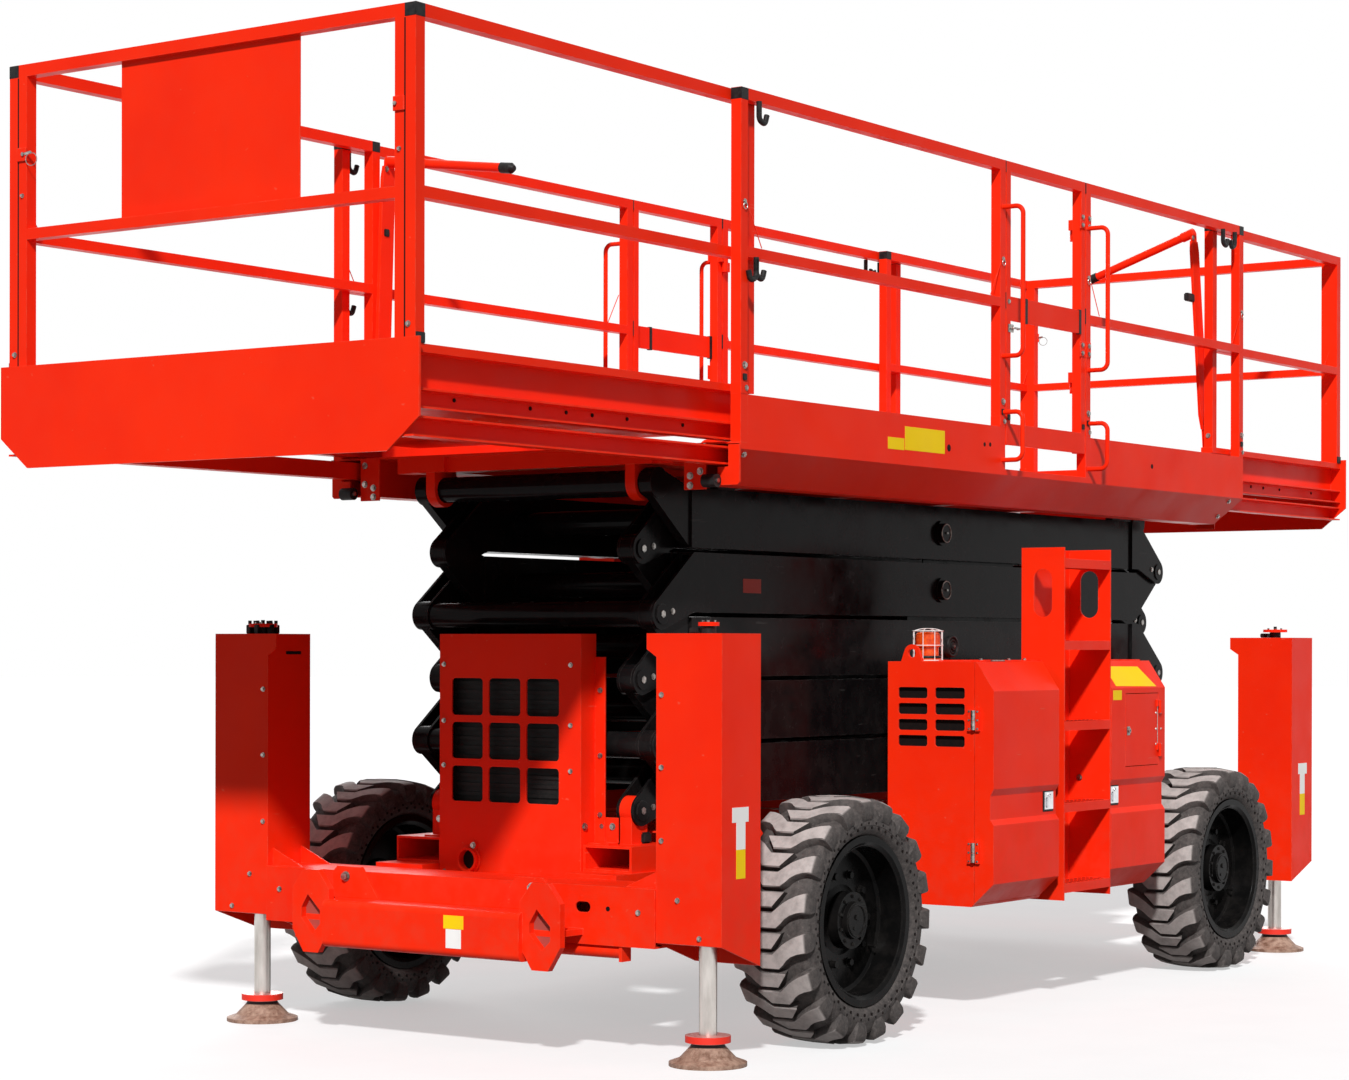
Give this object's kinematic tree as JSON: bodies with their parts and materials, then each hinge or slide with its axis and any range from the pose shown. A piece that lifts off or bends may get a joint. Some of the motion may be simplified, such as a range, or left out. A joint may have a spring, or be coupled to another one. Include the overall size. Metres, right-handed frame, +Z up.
{
  "type": "rough_terrain_scissor_lift",
  "caption": "Diesel rough-terrain scissor lift with a five-level scissor, four outriggers, steered wheels, two sliding deck extensions, gates and opening cabinets.",
  "frame": {"origin": "on the ground, midway between the two toe plates of the pulled-out decks, on the centre plane", "axes": "+X to the radiator end (front), +Y to the machine's left, +Z up"},
  "size_m": [6.72, 2.29, 3.158],
  "materials": {
    "tyre": "worn rubber",
    "rim_black": "semi-gloss black paint",
    "arm_black": "semi-gloss black paint",
    "chrome": "polished rod",
    "axle_black": "dusty black paint",
    "jack_steel": "plated rod, rusty cast foot",
    "cast_grey": "raw casting",
    "core_black": "finned black core",
    "lamp_amber": "clear orange",
    "body_red": "gloss orange-red paint, worn"
  },
  "bodies": {
    "chassis": {"chassis_frame": "body_red", "engine_block": "cast_grey", "front_axle": "axle_black", "rear_axle": "axle_black", "radiator_cover": "body_red", "radiator_core": "core_black", "cabinet_left": "body_red", "cabinet_right": "body_red", "ladder_left": "body_red", "ladder_right": "body_red", "beacon": "lamp_amber", "outrigger_front_left": "body_red", "outrigger_front_right": "body_red", "outrigger_rear_left": "body_red", "outrigger_rear_right": "body_red"},
    "wheel_front_left": {"tyre_front_left": "tyre", "rim_front_left": "rim_black"},
    "jack_front_left": {"jack_front_left": "jack_steel"},
    "wheel_front_right": {"tyre_front_right": "tyre", "rim_front_right": "rim_black"},
    "jack_front_right": {"jack_front_right": "jack_steel"},
    "wheel_rear_left": {"tyre_rear_left": "tyre", "rim_rear_left": "rim_black"},
    "jack_rear_left": {"jack_rear_left": "jack_steel"},
    "wheel_rear_right": {"tyre_rear_right": "tyre", "rim_rear_right": "rim_black"},
    "jack_rear_right": {"jack_rear_right": "jack_steel"},
    "knuckle_left": {"knuckle_left": "axle_black"},
    "door_front_left": {"door_front_left": "body_red"},
    "door_rear_left": {"door_rear_left": "body_red"},
    "gate_left": {"gate_left": "body_red"},
    "knuckle_right": {"knuckle_right": "axle_black"},
    "door_front_right": {"door_front_right": "body_red"},
    "door_rear_right": {"door_rear_right": "body_red"},
    "gate_right": {"gate_right": "body_red"},
    "control_hatch": {"control_hatch": "body_red"},
    "arm_inner_1": {"arm_inner_1": "arm_black"},
    "arm_outer_1": {"arm_outer_1": "arm_black"},
    "arm_inner_2": {"arm_inner_2": "arm_black"},
    "arm_outer_2": {"arm_outer_2": "arm_black"},
    "arm_inner_3": {"arm_inner_3": "arm_black"},
    "arm_outer_3": {"arm_outer_3": "arm_black"},
    "arm_inner_4": {"arm_inner_4": "arm_black"},
    "arm_outer_4": {"arm_outer_4": "arm_black"},
    "arm_inner_5": {"arm_inner_5": "arm_black"},
    "arm_outer_5": {"arm_outer_5": "arm_black"},
    "barrel_lower": {"lift_barrel_lower": "arm_black"},
    "ram_lower": {"lift_ram_lower": "chrome"},
    "barrel_upper": {"lift_barrel_upper": "arm_black"},
    "ram_upper": {"lift_ram_upper": "chrome"},
    "platform": {"main_deck": "body_red", "rails_main_left": "body_red", "rails_main_right": "body_red"},
    "deck_front": {"extension_deck_front": "body_red", "rails_front": "body_red", "push_bar_front": "body_red"},
    "deck_rear": {"extension_deck_rear": "body_red", "rails_rear": "body_red", "push_bar_rear": "body_red"}
  },
  "joints": [
    {"name": "lift", "type": "hinge", "parent": "chassis", "child": "arm_inner_1", "pos_m": [1.7, 0, 0.774], "axis": [0, 1, 0], "range_deg": [0, 50.5]},
    {"name": "cross_1", "type": "hinge", "parent": "arm_inner_1", "child": "arm_outer_1", "pos_m": [-0.18, 0, 0.8845], "axis": [0, 1, 0], "range_deg": [-101, 0]},
    {"name": "link_1", "type": "hinge", "parent": "arm_inner_1", "child": "arm_inner_2", "pos_m": [-2.06, 0, 0.995], "axis": [0, 1, 0], "range_deg": [-101, 0]},
    {"name": "cross_2", "type": "hinge", "parent": "arm_inner_2", "child": "arm_outer_2", "pos_m": [-0.18, 0, 1.1055], "axis": [0, 1, 0], "range_deg": [0, 101]},
    {"name": "link_2", "type": "hinge", "parent": "arm_inner_2", "child": "arm_inner_3", "pos_m": [1.7, 0, 1.216], "axis": [0, 1, 0], "range_deg": [0, 101]},
    {"name": "cross_3", "type": "hinge", "parent": "arm_inner_3", "child": "arm_outer_3", "pos_m": [-0.18, 0, 1.3265], "axis": [0, 1, 0], "range_deg": [-101, 0]},
    {"name": "link_3", "type": "hinge", "parent": "arm_inner_3", "child": "arm_inner_4", "pos_m": [-2.06, 0, 1.437], "axis": [0, 1, 0], "range_deg": [-101, 0]},
    {"name": "cross_4", "type": "hinge", "parent": "arm_inner_4", "child": "arm_outer_4", "pos_m": [-0.18, 0, 1.5475], "axis": [0, 1, 0], "range_deg": [0, 101]},
    {"name": "link_4", "type": "hinge", "parent": "arm_inner_4", "child": "arm_inner_5", "pos_m": [1.7, 0, 1.658], "axis": [0, 1, 0], "range_deg": [0, 101]},
    {"name": "cross_5", "type": "hinge", "parent": "arm_inner_5", "child": "arm_outer_5", "pos_m": [-0.18, 0, 1.7685], "axis": [0, 1, 0], "range_deg": [-101, 0]},
    {"name": "platform_pivot", "type": "hinge", "parent": "arm_outer_5", "child": "platform", "pos_m": [1.7, 0, 1.879], "axis": [0, 1, 0], "range_deg": [0, 50.5]},
    {"name": "barrel_lower", "type": "hinge", "parent": "arm_inner_1", "child": "barrel_lower", "pos_m": [0.5, 0, 0.8845], "axis": [0, 1, 0], "range_deg": [-0.1, 8.86]},
    {"name": "ram_lower", "type": "slide", "parent": "barrel_lower", "child": "ram_lower", "axis": [-0.9958, 0, 0.092], "range_m": [0, 0.8618]},
    {"name": "barrel_upper", "type": "hinge", "parent": "arm_inner_3", "child": "barrel_upper", "pos_m": [0.5, 0, 1.3265], "axis": [0, 1, 0], "range_deg": [-0.1, 8.86]},
    {"name": "ram_upper", "type": "slide", "parent": "barrel_upper", "child": "ram_upper", "axis": [-0.9958, 0, 0.092], "range_m": [0, 0.8618]},
    {"name": "steer_left", "type": "hinge", "parent": "chassis", "child": "knuckle_left", "pos_m": [1.37, 0.8, 0.415], "axis": [0, 0, 1], "range_deg": [-30, 30]},
    {"name": "spin_front_left", "type": "hinge", "parent": "knuckle_left", "child": "wheel_front_left", "pos_m": [1.37, 0.995, 0.415], "axis": [0, 1, 0], "continuous": true},
    {"name": "spin_rear_left", "type": "hinge", "parent": "chassis", "child": "wheel_rear_left", "pos_m": [-1.505, 0.995, 0.415], "axis": [0, 1, 0], "continuous": true},
    {"name": "steer_right", "type": "hinge", "parent": "chassis", "child": "knuckle_right", "pos_m": [1.37, -0.8, 0.415], "axis": [0, 0, 1], "range_deg": [-30, 30]},
    {"name": "spin_front_right", "type": "hinge", "parent": "knuckle_right", "child": "wheel_front_right", "pos_m": [1.37, -0.995, 0.415], "axis": [0, 1, 0], "continuous": true},
    {"name": "spin_rear_right", "type": "hinge", "parent": "chassis", "child": "wheel_rear_right", "pos_m": [-1.505, -0.995, 0.415], "axis": [0, 1, 0], "continuous": true},
    {"name": "jack_front_left", "type": "slide", "parent": "chassis", "child": "jack_front_left", "axis": [0, 0, -1], "range_m": [-0.24, 0.3]},
    {"name": "jack_front_right", "type": "slide", "parent": "chassis", "child": "jack_front_right", "axis": [0, 0, -1], "range_m": [-0.24, 0.3]},
    {"name": "jack_rear_left", "type": "slide", "parent": "chassis", "child": "jack_rear_left", "axis": [0, 0, -1], "range_m": [-0.24, 0.3]},
    {"name": "jack_rear_right", "type": "slide", "parent": "chassis", "child": "jack_rear_right", "axis": [0, 0, -1], "range_m": [-0.24, 0.3]},
    {"name": "door_front_left", "type": "hinge", "parent": "chassis", "child": "door_front_left", "pos_m": [0.516, 1.0515, 0.83], "axis": [0, 0, -1], "range_deg": [0, 110]},
    {"name": "door_rear_left", "type": "hinge", "parent": "chassis", "child": "door_rear_left", "pos_m": [-0.89, 1.0515, 0.83], "axis": [0, 0, 1], "range_deg": [0, 110]},
    {"name": "gate_left", "type": "hinge", "parent": "platform", "child": "gate_left", "pos_m": [-0.6655, 0.832, 2.6], "axis": [0, 0, -1], "range_deg": [0, 90]},
    {"name": "door_front_right", "type": "hinge", "parent": "chassis", "child": "door_front_right", "pos_m": [0.516, -1.0515, 0.83], "axis": [0, 0, 1], "range_deg": [0, 110]},
    {"name": "door_rear_right", "type": "hinge", "parent": "chassis", "child": "door_rear_right", "pos_m": [-0.89, -1.0515, 0.83], "axis": [0, 0, -1], "range_deg": [0, 110]},
    {"name": "gate_right", "type": "hinge", "parent": "platform", "child": "gate_right", "pos_m": [-0.6655, -0.832, 2.6], "axis": [0, 0, 1], "range_deg": [0, 90]},
    {"name": "hatch", "type": "hinge", "parent": "door_rear_left", "child": "control_hatch", "pos_m": [-0.822, 1.137, 1.008], "axis": [0, 0, 1], "range_deg": [0, 120]},
    {"name": "extend_front", "type": "slide", "parent": "platform", "child": "deck_front", "axis": [1, 0, 0], "range_m": [-1.56, 0]},
    {"name": "extend_rear", "type": "slide", "parent": "platform", "child": "deck_rear", "axis": [-1, 0, 0], "range_m": [-1.16, 0]}
  ],
  "couplings": [
    {"joint": "cross_1", "follows": "lift", "ratio": -2},
    {"joint": "link_1", "follows": "lift", "ratio": -2},
    {"joint": "cross_2", "follows": "lift", "ratio": 2},
    {"joint": "link_2", "follows": "lift", "ratio": 2},
    {"joint": "cross_3", "follows": "lift", "ratio": -2},
    {"joint": "link_3", "follows": "lift", "ratio": -2},
    {"joint": "cross_4", "follows": "lift", "ratio": 2},
    {"joint": "link_4", "follows": "lift", "ratio": 2},
    {"joint": "cross_5", "follows": "lift", "ratio": -2},
    {"joint": "platform_pivot", "follows": "lift", "ratio": 1},
    {"joint": "barrel_lower", "follows": "lift", "ratio": 0.1735},
    {"joint": "ram_lower", "follows": "lift", "m_per_rad": 0.97552},
    {"joint": "barrel_upper", "follows": "lift", "ratio": 0.1735},
    {"joint": "ram_upper", "follows": "lift", "m_per_rad": 0.97552},
    {"joint": "steer_right", "follows": "steer_left", "ratio": 1}
  ]
}
